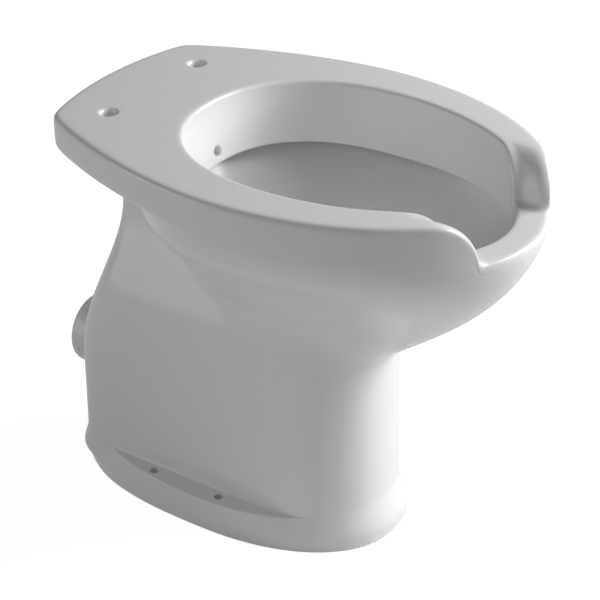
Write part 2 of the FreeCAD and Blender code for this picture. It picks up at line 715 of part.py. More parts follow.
def bowl_basin():
    """Bowl that hangs from the rim joint and narrows to the trap's throat."""
    angles = even_angles(36)
    steps = 11
    outer = []
    inner = []
    for step in range(steps + 1):
        share = step / steps
        height = RIM_JOINT + (THROAT_HEIGHT - RIM_JOINT) * share
        wall = BASIN_WALL + (TRAP_WALL - BASIN_WALL) * share
        outer.append(raised(basin_line(angles, share, wall), height))
        inner.append(raised(basin_line(angles, share, 0.0), height))
    return wall_solid(skin(outer, angles), skin(inner, angles))


def rounded_box(width, depth, height, corner, round_edge):
    """Upright box with rounded upright edges, from its low front left corner."""
    box = Part.makeBox(width, depth, height, corner)
    upright = [edge for edge in box.Edges if abs(edge.tangentAt(edge.FirstParameter).z) > 0.5]
    return box.makeFillet(round_edge, upright)


def flush_chamber():
    """Open-topped box behind the bowl that feeds the rim channel."""
    front = chamber_front()
    floor = RIM_JOINT - CHAMBER_HEIGHT
    wall = CHAMBER_WALL
    box = rounded_box(CHAMBER_WIDTH, CHAMBER_DEPTH, CHAMBER_HEIGHT,
                      Vec(-CHAMBER_WIDTH / 2, front, floor), CHAMBER_ROUND)
    hollow = rounded_box(CHAMBER_WIDTH - 2 * wall, CHAMBER_DEPTH - 2 * wall, CHAMBER_HEIGHT,
                         Vec(wall - CHAMBER_WIDTH / 2, front + wall, floor + wall), CHAMBER_ROUND - wall)
    mouth = Part.makeCylinder(FLUSH_MOUTH_RADIUS, 2 * wall,
                              Vec(0, front + CHAMBER_DEPTH - 1.5 * wall, FLUSH_HEIGHT), Vec(0, 1, 0))
    return box.cut([hollow, mouth])


def flush_inlet():
    """Socket for the flush pipe, through the rear of the neck, with a stop for the pipe's end."""
    start = chamber_front() + CHAMBER_DEPTH
    length = NECK_REAR + FLUSH_PROUD - start
    place = Vec(0, start, FLUSH_HEIGHT)
    outside = Part.makeCylinder(FLUSH_BORE / 2 + FLUSH_WALL, length, place, Vec(0, 1, 0))
    mouth = Part.makeCylinder(FLUSH_MOUTH_RADIUS, length, place, Vec(0, 1, 0))
    socket = Part.makeCylinder(FLUSH_BORE / 2, length, place + Vec(0, FLUSH_STOP, 0), Vec(0, 1, 0))
    return outside.cut([mouth, socket])


def castings():
    """Every casting by its name."""
    inlet_bend, weir_bend, spigot = trapway()
    return {
        "rim_and_deck": rim_and_deck(),
        "body_shell": body_shell(),
        "foot_ring": foot_ring(),
        "bowl_basin": bowl_basin(),
        "trap_inlet_bend": inlet_bend,
        "trap_weir_bend": weir_bend,
        "outlet_spigot": spigot,
        "flush_chamber": flush_chamber(),
        "flush_inlet": flush_inlet(),
    }


os.makedirs("parts", exist_ok=True)
for name, solid in castings().items():
    solid.exportStep(os.path.join("parts", name + ".step"))
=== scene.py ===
"""Looks of the accessible toilet pan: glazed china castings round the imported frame."""
import math

import bpy
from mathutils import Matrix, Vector


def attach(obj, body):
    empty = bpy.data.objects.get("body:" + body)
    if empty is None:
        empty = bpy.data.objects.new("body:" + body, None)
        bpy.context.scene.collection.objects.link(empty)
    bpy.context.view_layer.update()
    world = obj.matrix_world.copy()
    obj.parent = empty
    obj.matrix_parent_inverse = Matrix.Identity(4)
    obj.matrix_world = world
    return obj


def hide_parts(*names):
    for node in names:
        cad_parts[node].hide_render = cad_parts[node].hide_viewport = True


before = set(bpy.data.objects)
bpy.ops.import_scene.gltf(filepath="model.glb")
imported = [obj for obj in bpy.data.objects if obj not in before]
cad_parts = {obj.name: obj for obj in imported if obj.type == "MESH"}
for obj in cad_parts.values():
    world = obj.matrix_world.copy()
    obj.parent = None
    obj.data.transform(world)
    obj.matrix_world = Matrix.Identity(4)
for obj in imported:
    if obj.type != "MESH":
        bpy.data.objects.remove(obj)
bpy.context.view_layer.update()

MM = 0.001

# Rim, deck and bowl opening, in millimetres
PAN_HEIGHT = 460.0
HALF_RIM = 187.5
FRONT_REACH = 287.5
DECK_REACH = 246.0
OUTLET_REACH = 287.5
WIDEST_Y = -20.0
DECK_TAPER_LENGTH = 427.0
DECK_TAPER_POWER = 1.8
DECK_REAR_RADIUS = 370.0
DECK_CORNER_ROUND = 15.0
DECK_CORNER_POWER = 44.0
HALF_OPENING = 133.0
OPENING_FRONT = 253.0
OPENING_REAR = 106.0
OPENING_MID = -48.0
OPENING_REAR_POWER = 2.2

# Rim section and front cut-out
RIM_JOINT = 393.0
DECK_UNDERSIDE = 422.0
OUTER_ROUND = 11.0
INNER_ROUND = 9.0
DECK_EDGE_ROUND = 6.0
CURTAIN_THICKNESS = 10.0
CURTAIN_LEAN = 13.0
CURTAIN_EDGE = 2.5
CHANNEL_ROOF = 446.0
CHANNEL_ROUND = 3.0
DECK_UNDERCUT = 6.0
LIP_DROP = 50.0
LIP_HALF_WIDTH = 60.0
LIP_FOOT_RADIUS = 12.0
LIP_STEEP = math.radians(80)
LIP_TOP = PAN_HEIGHT - LIP_DROP
LIP_SHOULDER_RADIUS = LIP_DROP / (1 - math.cos(LIP_STEEP)) - LIP_FOOT_RADIUS
LIP_SIDE_WIDTH = (LIP_FOOT_RADIUS + LIP_SHOULDER_RADIUS) * math.sin(LIP_STEEP)

# Hull, pedestal and neck
HULL_SIDE_INSET = 120.0
HULL_SIDE_DEPTH = 109.0
HULL_SIDE_POWER = 2.2
HULL_FRONT_INSET = 165.5
HULL_FRONT_DEPTH = 182.0
HULL_FRONT_POWER = 1.8
HULL_REAR_REACH = 155.0
HULL_REAR_INSET = 75.0
HULL_KEEL_REACH = 70.0
HALF_PEDESTAL = 92.0
PEDESTAL_FRONT = 122.0
PEDESTAL_LEAN = 3.0
PEDESTAL_REAR = 248.5
PEDESTAL_MID = 65.5
PEDESTAL_FRONT_POWER = 2.25
PEDESTAL_REAR_POWER = 3.8
HALF_NECK = 60.0
NECK_REAR = 196.0
NECK_TOP = 345.0
NECK_FOOT = 225.0
NECK_REAR_FOOT = 150.0
NECK_REAR_POWER = 2.6

# Foot, its ledges, and the pedestal's flare into it
HALF_FOOT = 117.25
FOOT_FRONT = 136.2
FOOT_REAR = 257.5
FOOT_MID = 51.4
FOOT_FRONT_POWER = 2.2
FOOT_REAR_POWER = 2.67
LEDGE_HEIGHT = 40.0
LEDGE_FRONT = 116.0
LEDGE_REAR = 244.0
LEDGE_FRONT_POWER = 2.0
LEDGE_REAR_POWER = 2.28
LEDGE_STEP = 2.5
LEDGE_ROUND = 3.0
LEDGE_FILLET = 3.0
SKIRT_TOP = 52.0
SKIRT_FOOT = 10.0
HEEL_HEIGHT = 20.0
HEEL_FLARE = 8.0
HEEL_TUCK = 11.0

# Walls, holes and pipes
BODY_WALL = 11.0
BASIN_WALL = 9.0
BASIN_GAP = 2.0
JOINT_GAP = 0.5
BASIN_POWER = 2.8
BASIN_FRONT_FULLNESS = 0.5
BASIN_FRONT_FOCUS = 1.5
BASIN_REAR_POWER = 1.2
BASIN_REAR_FOCUS = 8.0
THROAT_HEIGHT = 148.0
THROAT_Y = -39.166
BORE_RADIUS = 33.0
TRAP_RADIUS = 42.0
COLLAR_RADIUS = 44.0
COLLAR_END = 252.0
SPIGOT_ROOT = 234.0
OUTLET_HEIGHT = 125.0
INLET_ROOT = 180.03
INLET_END = 204.0
INLET_HEIGHT = 344.6
INLET_BORE = 27.5
INLET_STOP = 3.0
INLET_MOUTH = 24.0
INLET_RADIUS = 33.5
SEAT_HOLE = (77.5, 180.5)
SEAT_HOLE_RADIUS = 8.0
SEAT_HOLE_FLARE = 5.2
FLOOR_HOLE_X = 102.0
FLOOR_HOLES_Y = (29.5, 120.0)
FLOOR_HOLE_RADIUS = 5.0
FLOOR_HOLE_FLARE = 1.2
JET_HOLE_RADIUS = 5.25
JET_HOLE_FLARE = 2.6
JET_HOLE_PLACE = (0.0, 95.86, 406.0)
JET_HOLE_AXIS = (0.0, -0.9758, 0.2187)

# Angles from the front, in degrees, between which forms fade in towards the rear
CURTAIN_LEAN_ANGLES = (15, 60)
CURTAIN_EDGE_ANGLES = (25, 60)
CHANNEL_ANGLES = (34, 48)
BASIN_MOUTH_ANGLES = (25, 75)

# Widths over which the fixing ledges and the deck's overhang fade in
LEDGE_FADE = (0.5, 9.0)
HANG_FADE = (0.0, 4 * DECK_EDGE_ROUND)

# Softness of blended corners, and the point that outlines are drawn around
BLEND_POWER = 16.0
FLAT_POWER = 16.0
FOOT_BLEND_POWER = 40.0
CENTRE_Y = 40.0
LIP_CENTRE_RADIUS = FRONT_REACH + CENTRE_Y - (FRONT_REACH - OPENING_FRONT) / 2
CRISP = 0.05

# Lengthwise lines of the meshes, from the front to the rear
LIP_SHARES = (0.0, 0.3, 0.55, 0.78, 0.92)
LIP_FOOT_STEPS = 4
LIP_SHOULDER_STEPS = 7
SIDE_STEPS = 22
CORNER_SHARES = (-1.0, -0.6, -0.3, 0.0, 0.3, 0.6, 1.0)
REAR_STEPS = 10

# Steps that find an outline's point, sides of round pieces and cutters, and smooth shading
TRACE_STEPS = 40
BASIN_SIDES = 72
PIPE_SIDES = 48
CUTTER_SIDES = 96
CUTTER_OVERRUN = 4.0
SMOOTH_ANGLE = math.radians(35)

# Rows of the rim; a pair gives how far across, then how far up
ROUND_SHARE = 0.3
RIM_WALL_ROWS = (RIM_JOINT, RIM_JOINT + 1, RIM_JOINT + 9, DECK_UNDERSIDE - 12)
UNDERSIDE_ROWS = ((0.0, -4.0), (0.12, -0.5), (0.5, 0.0), (1.0, 0.0))
UNDERSIDE_STEP = 2.0
DECK_EDGE_TURN = ((0.25, 0.25), (0.0, 1.0))
DECK_EDGE_DROP = 8.0
FLAT_SHARES = (0.0, 0.33, 0.67, 1.0)
CURTAIN_SHARES = (0.0, 0.35, 0.7, 0.9)
CURTAIN_FOOT_TURN = ((0.0, 1.0), (0.0, 0.25), (0.25, 0.0), (1.0, 0.0))

# Rows of the body, foot, basin and hole mouths; a pair gives how far across, then how far up or down
FILLET_TURN = ((1.0, 0.0), (0.95, 0.01), (0.25, 0.25), (0.0, 1.0), (0.0, 1.3))
SKIRT_SHARES = (0.2, 0.5)
SKIRT_ROWS = (LEDGE_HEIGHT + 2 * LEDGE_FILLET, SKIRT_TOP - 3, SKIRT_TOP + 3)
SHAFT_STEPS = 7
HULL_STEPS = 16
HULL_TOP_ROW = RIM_JOINT - 8
FOOT_BASE_TURN = ((1.2, 0.0), (0.3, 0.3))
FOOT_ROWS = (1.6, 5.0, 10.0, 16.0, 22.0, 28.0, 34.0)
FOOT_SHARES = (0.5, 0.8)
LEDGE_TURN_START = 1.4
LEDGE_TURN = ((0.0, LEDGE_TURN_START), (0.0, 1.0), (0.0, 0.3), (0.3, 0.0), (1.0, 0.0))
LEDGE_SHARES = (0.35, 0.7, 1.0)
FOOT_HOLLOW_ROWS = (LEDGE_HEIGHT - 4, 20.0, 3.0, 0.0)
BASIN_STEPS = 16
BASIN_TOP_SHARE = 0.01
HOLE_MOUTH_TURN = ((1.0, 0.0), (0.62, -0.02), (0.3, -0.2), (0.06, -0.62), (0.0, -1.2), (0.0, -2.0))
# Faces within this margin of a hole's axis, below its mouth, take the painted shade in this slot
BORE_MARGIN = 1.02
BORE_SHADE_SLOT = 2

# Glaze and clay; the scales of their patterns are per metre
CLOUD_SCALE = 9.0
CLOUD_DIP = 0.985
CLOUD_GLOSS = 0.03
GLAZE_IOR = 1.5
RIPPLE_SCALE = 22.0
RIPPLE_STRENGTH = 0.05
RIPPLE_DEPTH = 0.002
GRAIN_SCALE = 420.0
CLAY_ROUGHNESS = 0.85

# Camera, lights and stage, in metres and watts, with the lens and sensor in millimetres
CAMERA_PLACE = (-1.5660, -1.0719, 1.3517)
CAMERA_AIM = (0.71633, 0.48554, -0.50112)
CAMERA_LENS = 120.99
CAMERA_SENSOR = 36.0
LIGHT_TARGET = (0.0, 0.0, 0.3)
LIGHT_SIZE = 1.6
LIGHTS = (("key", (1.592, -1.592, 1.6), 84.0),
          ("low_back", (-1.831, 1.831, 0.527), 11.6),
          ("high_back", (-1.592, 1.592, 1.6), 3.6),
          ("fill", (-1.592, -1.592, 1.6), 3.6),
          ("side", (-2.252, 0.0, 1.6), 3.0))
FLOOR_SIZE = 12.0
FLOOR_ROUGHNESS = 0.9
FLOOR_TONE = 0.8
FLOOR_SHADOW_TONE = 0.25
FLOOR_GLOW = 0.93
FLOOR_REFLECTION = 0.45
SKY_TONE = 0.0
SKY_REFLECTION = 0.4


# Outline formulas

def smoothstep(low, high, value):
    """Go from 0 at low to 1 at high with level ends."""
    share = min(1.0, max(0.0, (value - low) / (high - low)))
    return share * share * (3 - 2 * share)


def oval(x, y, half_width, front, rear, mid, front_power=2.0, rear_power=2.0):
    """Gauge of an egg-like oval: below 1 inside, 1 on its line."""
    forward = y < mid
    power = front_power if forward else rear_power
    reach = mid - front if forward else rear - mid
    return (abs(x / half_width) ** power + abs((y - mid) / reach) ** power) ** (1 / power)


def meet(power, *gauges):
    """Common area of shapes, with softened corners."""
    return sum(gauge ** power for gauge in gauges) ** (1 / power)


def join(power, *gauges):
    """Union of shapes, with filleted inner corners."""
    return sum(max(gauge, 1e-6) ** -power for gauge in gauges) ** (-1 / power)


def deck_half_width(y):
    """Half the deck's width behind the rim's widest place."""
    return HALF_RIM * max(0.1, 1 - ((y - WIDEST_Y) / DECK_TAPER_LENGTH) ** DECK_TAPER_POWER)


def deck_gauge(x, y):
    """Outline of the rim and deck at full width."""
    if y < WIDEST_Y:
        return oval(x, y, HALF_RIM, -FRONT_REACH, DECK_REACH, WIDEST_Y)
    rear = math.hypot(x, y - DECK_REACH + DECK_REAR_RADIUS) / DECK_REAR_RADIUS
    return meet(DECK_CORNER_POWER, abs(x) / deck_half_width(y), rear)


def opening_gauge(x, y, height):
    """Outline of the bowl opening at the top of the rim."""
    return oval(x, y, HALF_OPENING, -OPENING_FRONT, OPENING_REAR, OPENING_MID,
                rear_power=OPENING_REAR_POWER)


def column_gauge(x, y, height, wall=0.0):
    """Outline of the flat-sided pedestal, its flare below and its neck above, drawn in by wall."""
    skirt = smoothstep(SKIRT_TOP, SKIRT_FOOT, height)
    heel = smoothstep(SKIRT_TOP, HEEL_HEIGHT, height)
    neck = smoothstep(NECK_FOOT, NECK_TOP, height)
    neck_rear = smoothstep(NECK_REAR_FOOT, NECK_TOP, height)
    shin = PEDESTAL_FRONT + PEDESTAL_LEAN * (1 - smoothstep(SKIRT_TOP, NECK_REAR_FOOT, height))
    front = shin + (FOOT_FRONT - shin) * skirt
    rear = PEDESTAL_REAR + HEEL_FLARE * heel + (NECK_REAR - PEDESTAL_REAR) * neck_rear
    rear_power = PEDESTAL_REAR_POWER + (NECK_REAR_POWER - PEDESTAL_REAR_POWER) * neck_rear
    inward = wall + HEEL_TUCK * smoothstep(HEEL_HEIGHT, 0, height)
    half_flat = HALF_PEDESTAL + (HALF_NECK - HALF_PEDESTAL) * neck - inward
    body = oval(x, y, HALF_FOOT - LEDGE_STEP - inward, inward - front, rear - inward, PEDESTAL_MID,
                PEDESTAL_FRONT_POWER, rear_power)
    return meet(FLAT_POWER, body, abs(x) / half_flat)


def foot_gauge(x, y, height):
    """Outline of the foot: the pedestal's flare and the oval that carries the fixing ledges."""
    skirt = smoothstep(SKIRT_TOP, SKIRT_FOOT, height)
    front = LEDGE_FRONT + (FOOT_FRONT - LEDGE_FRONT) * skirt
    rear = LEDGE_REAR + (FOOT_REAR - LEDGE_REAR) * skirt
    ledges = oval(x, y, HALF_FOOT, -front, rear, FOOT_MID,
                  LEDGE_FRONT_POWER + (FOOT_FRONT_POWER - LEDGE_FRONT_POWER) * skirt,
                  LEDGE_REAR_POWER + (FOOT_REAR_POWER - LEDGE_REAR_POWER) * skirt)
    return join(FOOT_BLEND_POWER, ledges, column_gauge(x, y, height))


def hull_gauge(x, y, height, wall=0.0):
    """Outline of the bowl's hull, drawn in by wall; None well below its keel."""
    drop = max(0.0, DECK_UNDERSIDE - height)
    front_drop = max(0.0, LIP_TOP - height)
    draw_in = 1 - math.exp(-(drop / HULL_SIDE_DEPTH) ** HULL_SIDE_POWER)
    half = HALF_RIM - HULL_SIDE_INSET * draw_in - wall
    front = FRONT_REACH - HULL_FRONT_INSET * (front_drop / HULL_FRONT_DEPTH) ** HULL_FRONT_POWER - wall
    rear = HULL_REAR_REACH - HULL_REAR_INSET * draw_in - wall
    if front < HULL_KEEL_REACH:
        return None
    return oval(x, y, half, -front, rear, WIDEST_Y)


def body_gauge(x, y, height, wall=0.0):
    """Outline of the outer body: bowl hull, neck and pedestal in one skin."""
    column = column_gauge(x, y, height, wall)
    hull = hull_gauge(x, y, height, wall)
    return column if hull is None else join(BLEND_POWER, column, hull)


def cavity_gauge(x, y, height):
    """Outline of the hollow inside the outer body."""
    return body_gauge(x, y, height, BODY_WALL)


def rim_gauge(x, y, height):
    """Outline of the rim's outer face: deck edge above, hull where the front is cut down."""
    return deck_gauge(x, y) if height >= DECK_UNDERSIDE else hull_gauge(x, y, height)


def trace(gauge, angles, height, centre_y=CENTRE_Y):
    """Points of an outline, one per angle from the front, found along rays."""
    heights = height if isinstance(height, list) else [height] * len(angles)
    points = []
    for angle, level in zip(angles, heights):
        across, along = math.sin(angle), -math.cos(angle)
        near, far = 0.0, FRONT_REACH + DECK_REACH
        for _ in range(TRACE_STEPS):
            reach = (near + far) / 2
            inside = gauge(reach * across, centre_y + reach * along, level) < 1
            near, far = (reach, far) if inside else (near, reach)
        points.append((near * across, centre_y + near * along))
    return points


def inset(points, distance):
    """Points moved inwards, square to their own outline; distance may vary by point."""
    steps = distance if isinstance(distance, list) else [distance] * len(points)
    moved = []
    for index, (x, y) in enumerate(points):
        before, after = points[index - 1], points[(index + 1) % len(points)]
        along_x, along_y = after[0] - before[0], after[1] - before[1]
        size = math.hypot(along_x, along_y)
        moved.append((x - steps[index] * along_y / size, y + steps[index] * along_x / size))
    return moved


def between(first, second, share):
    """Points part of the way from one outline to another; share may vary by point."""
    shares = share if isinstance(share, list) else [share] * len(first)
    return [(a[0] + (b[0] - a[0]) * part, a[1] + (b[1] - a[1]) * part)
            for a, b, part in zip(first, second, shares)]


def raised(points, height):
    """Outline points lifted to a height, which may vary by point."""
    heights = height if isinstance(height, list) else [height] * len(points)
    return [(x, y, z) for (x, y), z in zip(points, heights)]


def both_sides(half_angles):
    """Angles for the whole outline from those of its right half, front to rear."""
    return half_angles + [2 * math.pi - angle for angle in reversed(half_angles[1:-1])]


def even_angles(count):
    """Evenly spaced angles round an outline."""
    return [2 * math.pi * index / count for index in range(count)]


def lip_arcs():
    """Distances along the rim, from the lip's end, that draw the cut-out's two arcs."""
    foot = [LIP_FOOT_RADIUS * math.sin(LIP_STEEP * step / LIP_FOOT_STEPS)
            for step in range(LIP_FOOT_STEPS + 1)]
    shoulder = [LIP_SIDE_WIDTH - LIP_SHOULDER_RADIUS * math.sin(LIP_STEEP * (1 - step / LIP_SHOULDER_STEPS))
                for step in range(1, LIP_SHOULDER_STEPS + 1)]
    return foot + shoulder


def lip_drop(angle):
    """How far the rim's top is cut down at an angle from the front."""
    distance = min(angle, 2 * math.pi - angle) * LIP_CENTRE_RADIUS - LIP_HALF_WIDTH
    if distance <= 0:
        return LIP_DROP
    if distance >= LIP_SIDE_WIDTH:
        return 0.0
    if distance <= LIP_FOOT_RADIUS * math.sin(LIP_STEEP):
        return LIP_DROP - LIP_FOOT_RADIUS + math.sqrt(LIP_FOOT_RADIUS ** 2 - distance ** 2)
    return LIP_SHOULDER_RADIUS - math.sqrt(LIP_SHOULDER_RADIUS ** 2 - (LIP_SIDE_WIDTH - distance) ** 2)


def pan_angles():
    """Angles of the lengthwise lines: close at the cut-out, the deck's corners and the neck."""
    lip_end = LIP_HALF_WIDTH / LIP_CENTRE_RADIUS
    lip = [lip_end * share for share in LIP_SHARES]
    arcs = [lip_end + distance / LIP_CENTRE_RADIUS for distance in lip_arcs()]
    corner_y = DECK_REACH - DECK_CORNER_ROUND
    corner = math.pi - math.atan2(deck_half_width(corner_y), corner_y - CENTRE_Y)
    turn = DECK_CORNER_ROUND / deck_half_width(corner_y)
    bend = [corner + turn * share for share in CORNER_SHARES]
    sides = [arcs[-1] + (bend[0] - arcs[-1]) * step / SIDE_STEPS for step in range(1, SIDE_STEPS)]
    rear = [bend[-1] + (math.pi - bend[-1]) * step / REAR_STEPS for step in range(1, REAR_STEPS + 1)]
    return both_sides(lip + arcs + sides + bend + rear)


def rear_share(angles, start, end):
    """0 at the front, rising to 1 between two angles from the front, in degrees."""
    return [smoothstep(start, end, math.degrees(min(angle, 2 * math.pi - angle))) for angle in angles]


def ledge_share(angles):
    """1 along the fixing ledges, fading to 0 where they run out into the pedestal."""
    foot = trace(foot_gauge, angles, LEDGE_HEIGHT)
    body = trace(body_gauge, angles, LEDGE_HEIGHT)
    return [smoothstep(*LEDGE_FADE, math.dist(a, b)) for a, b in zip(foot, body)]


# Mesh making

def ring_piece(name, rows, levels=2, sharp=(), second_slot=()):
    """Closed ring of quads over rows of points in millimetres, smoothed by subdivision.

    Rows named in sharp keep a crisp edge, and faces that start at a row named in
    second_slot take the piece's second material.
    """
    bpy.ops.object.select_all(action="DESELECT")
    columns, count = len(rows[0]), len(rows)
    bpy.ops.mesh.primitive_torus_add(major_segments=columns, minor_segments=count)
    piece = bpy.context.object
    piece.name = piece.data.name = name
    mesh = piece.data
    places = [rows[row][column] for column in range(columns) for row in range(count)]
    mesh.vertices.foreach_set("co", [value * MM for place in places for value in place])
    crease = mesh.attributes.new("crease_edge", "FLOAT", "EDGE")
    for edge in mesh.edges:
        first, last = (vertex % count for vertex in edge.vertices)
        crease.data[edge.index].value = float(first == last and first in sharp)
    for face in mesh.polygons:
        on_rows = sorted({vertex % count for vertex in face.vertices})
        start = on_rows[-1] if on_rows == [0, count - 1] else on_rows[0]
        face.material_index = int(start in second_slot)
    bpy.ops.object.mode_set(mode="EDIT")
    bpy.ops.mesh.select_all(action="SELECT")
    bpy.ops.mesh.normals_make_consistent(inside=False)
    bpy.ops.object.mode_set(mode="OBJECT")
    smooth = piece.modifiers.new("Smooth", "SUBSURF")
    smooth.levels = smooth.render_levels = levels
    bpy.ops.object.modifier_apply(modifier=smooth.name)
    return piece


def cylinder(radius, start, end):
    """Plain cylinder between two points in millimetres, used as a cutter."""
    bpy.ops.object.select_all(action="DESELECT")
    low, high = Vector(start) * MM, Vector(end) * MM
    turn = (high - low).to_track_quat("Z", "Y").to_euler()
    bpy.ops.mesh.primitive_cylinder_add(vertices=CUTTER_SIDES, radius=radius * MM,
                                        depth=(high - low).length, location=(low + high) / 2,
                                        rotation=turn)
    return bpy.context.object


def cut(piece, cutter):
    """Take the cutter's shape out of a piece."""
    hole = piece.modifiers.new("Hole", "BOOLEAN")
    hole.object = cutter
    hole.solver = "EXACT"
    bpy.context.view_layer.objects.active = piece
    bpy.ops.object.modifier_apply(modifier=hole.name)
    bpy.data.objects.remove(cutter)


def add_to(piece, *others):
    """Join other meshes into a piece."""
    bpy.ops.object.select_all(action="DESELECT")
    for other in others:
        other.select_set(True)
    piece.select_set(True)
    bpy.context.view_layer.objects.active = piece
    bpy.ops.object.join()


def lathe_rows(profile, centre, axis):
    """Rows of circles for a turned piece: profile is (radius, distance along the axis)."""
    along, side = Vector(axis).normalized(), Vector((1, 0, 0))
    up = along.cross(side)
    return [[Vector(centre) + along * reach + (side * math.cos(angle) + up * math.sin(angle)) * radius
             for angle in even_angles(PIPE_SIDES)] for radius, reach in profile]


def flared_hole(piece, radius, lip, place, axis, depth):
    """Bore a hole whose mouth flares out softly by lip, square to a face at a place.

    The wall below the mouth takes the piece's third material, a dark painted shade.
    """
    outer, start, along = radius + lip, Vector(place), Vector(axis).normalized()
    mouth = [(radius + out * lip, rise * lip) for out, rise in HOLE_MOUTH_TURN]
    back = [(radius, 0.02 * lip - depth), (radius, -depth), (outer, -depth), (outer, -0.5 * lip)]
    end = len(mouth) + 1
    lining = ring_piece("lining", lathe_rows(mouth + back, place, axis), sharp=(0, end, end + 1))
    cut(piece, cylinder(outer, start + along * CUTTER_OVERRUN, start - along * (depth + CUTTER_OVERRUN)))
    add_to(piece, lining)
    # Painted shade: faces down inside the bore take the dark shade material
    for face in piece.data.polygons:
        offset = face.center / MM - start
        reach = offset.dot(along)
        if (offset - along * reach).length < BORE_MARGIN * radius and -depth < reach < -lip:
            face.material_index = BORE_SHADE_SLOT


# Pieces

def curtain_lines(angles):
    """Top and foot outlines of the face inside the rim."""
    top = trace(opening_gauge, angles, PAN_HEIGHT)
    lean = [CURTAIN_LEAN * share for share in rear_share(angles, *CURTAIN_LEAN_ANGLES)]
    return top, inset(top, lean)


def rim_rows(angles):
    """Rows round the rim's section: outside, top, curtain face, channel and joint."""
    tops = [PAN_HEIGHT - lip_drop(angle) for angle in angles]
    wall_top = PAN_HEIGHT - OUTER_ROUND

    def lowered(height):
        share = (height - RIM_JOINT) / (wall_top - RIM_JOINT)
        return [RIM_JOINT + (top - OUTER_ROUND - RIM_JOINT) * share for top in tops]

    def body_line(height):
        return trace(body_gauge, angles, lowered(height))

    def below_top(distance):
        return [top - distance for top in tops]

    rows = [raised(body_line(height), lowered(height)) for height in RIM_WALL_ROWS]

    # The deck's underside, which runs out from the neck to the deck's rounded lower edge
    root = body_line(DECK_UNDERSIDE - DECK_UNDERCUT)
    edge = trace(rim_gauge, angles, lowered(DECK_UNDERSIDE))
    hang = [smoothstep(*HANG_FADE, math.dist(a, b)) for a, b in zip(root, edge)]
    for step, (share, rise) in enumerate(UNDERSIDE_ROWS):
        plain = lowered(DECK_UNDERSIDE - DECK_UNDERCUT + UNDERSIDE_STEP * step)
        line = between(root, inset(edge, [DECK_EDGE_ROUND * part for part in hang]), share)
        under = [level + (DECK_UNDERSIDE + rise - level) * part for level, part in zip(plain, hang)]
        rows.append(raised(line, under))
    for share, rise in DECK_EDGE_TURN:
        height = lowered(DECK_UNDERSIDE + rise * DECK_EDGE_ROUND)
        rows.append(raised(inset(edge, [DECK_EDGE_ROUND * share * part for part in hang]), height))

    # The deck's upright edge, its rounded top, and the flat top of the rim
    for height in (lowered(wall_top - DECK_EDGE_DROP), below_top(OUTER_ROUND)):
        rows.append(raised(trace(rim_gauge, angles, height), height))
    crest = trace(rim_gauge, angles, below_top(OUTER_ROUND / 2))
    rows.append(raised(crest, below_top(ROUND_SHARE * OUTER_ROUND)))
    rows.append(raised(inset(crest, ROUND_SHARE * OUTER_ROUND), tops))
    top, foot = curtain_lines(angles)
    outer_flat, inner_flat = inset(crest, OUTER_ROUND), inset(top, -INNER_ROUND)
    for share in FLAT_SHARES:
        rows.append(raised(between(outer_flat, inner_flat, share), tops))

    # The rounded inner edge and the curtain's face, down to its crisp foot
    rows.append(raised(inset(top, -ROUND_SHARE * INNER_ROUND), tops))
    rows.append(raised(top, below_top(ROUND_SHARE * INNER_ROUND)))
    soft = [CRISP + CURTAIN_EDGE * share for share in rear_share(angles, *CURTAIN_EDGE_ANGLES)]
    for share in CURTAIN_SHARES:
        height = [level - (level - RIM_JOINT) * share for level in below_top(INNER_ROUND)]
        rows.append(raised(between(top, foot, share), height))
    for back, rise in CURTAIN_FOOT_TURN:
        line = inset(foot, [-back * size for size in soft])
        rows.append(raised(line, [RIM_JOINT + rise * size for size in soft]))

    # The flush channel behind the curtain, which fades into the joint towards the front
    open_share = rear_share(angles, *CHANNEL_ANGLES)
    outer = inset(trace(hull_gauge, angles, RIM_JOINT), BODY_WALL + BASIN_GAP + BASIN_WALL)
    joint = inset(trace(body_gauge, angles, RIM_JOINT), BODY_WALL)
    low_back, high_back = inset(foot, -CURTAIN_THICKNESS), inset(top, -CURTAIN_THICKNESS)
    plain = inset(foot, -CURTAIN_THICKNESS / 2)
    foot_turn, roof_turn = RIM_JOINT + CHANNEL_ROUND, CHANNEL_ROOF - CHANNEL_ROUND
    corners = ((low_back, RIM_JOINT), (low_back, foot_turn),
               (high_back, roof_turn), (high_back, CHANNEL_ROOF),
               (outer, CHANNEL_ROOF), (outer, roof_turn),
               (outer, foot_turn), (outer, RIM_JOINT))
    for step, (line, height) in enumerate(corners):
        closed = between(plain, joint, step / len(corners))
        levels = [RIM_JOINT + (height - RIM_JOINT) * part for part in open_share]
        rows.append(raised(between(closed, line, open_share), levels))
    return rows


def make_rim():
    """Rim with its cut-out, deck, curtain, channel and holes."""
    rows = rim_rows(pan_angles())
    rim = ring_piece("china_rim", rows, sharp=(0, len(rows) - 1))
    for side in (-1, 1):
        place = (side * SEAT_HOLE[0], SEAT_HOLE[1], PAN_HEIGHT)
        flared_hole(rim, SEAT_HOLE_RADIUS, SEAT_HOLE_FLARE, place, (0, 0, 1), PAN_HEIGHT - DECK_UNDERSIDE)
    flared_hole(rim, JET_HOLE_RADIUS, JET_HOLE_FLARE, JET_HOLE_PLACE, JET_HOLE_AXIS, CURTAIN_THICKNESS)
    return rim


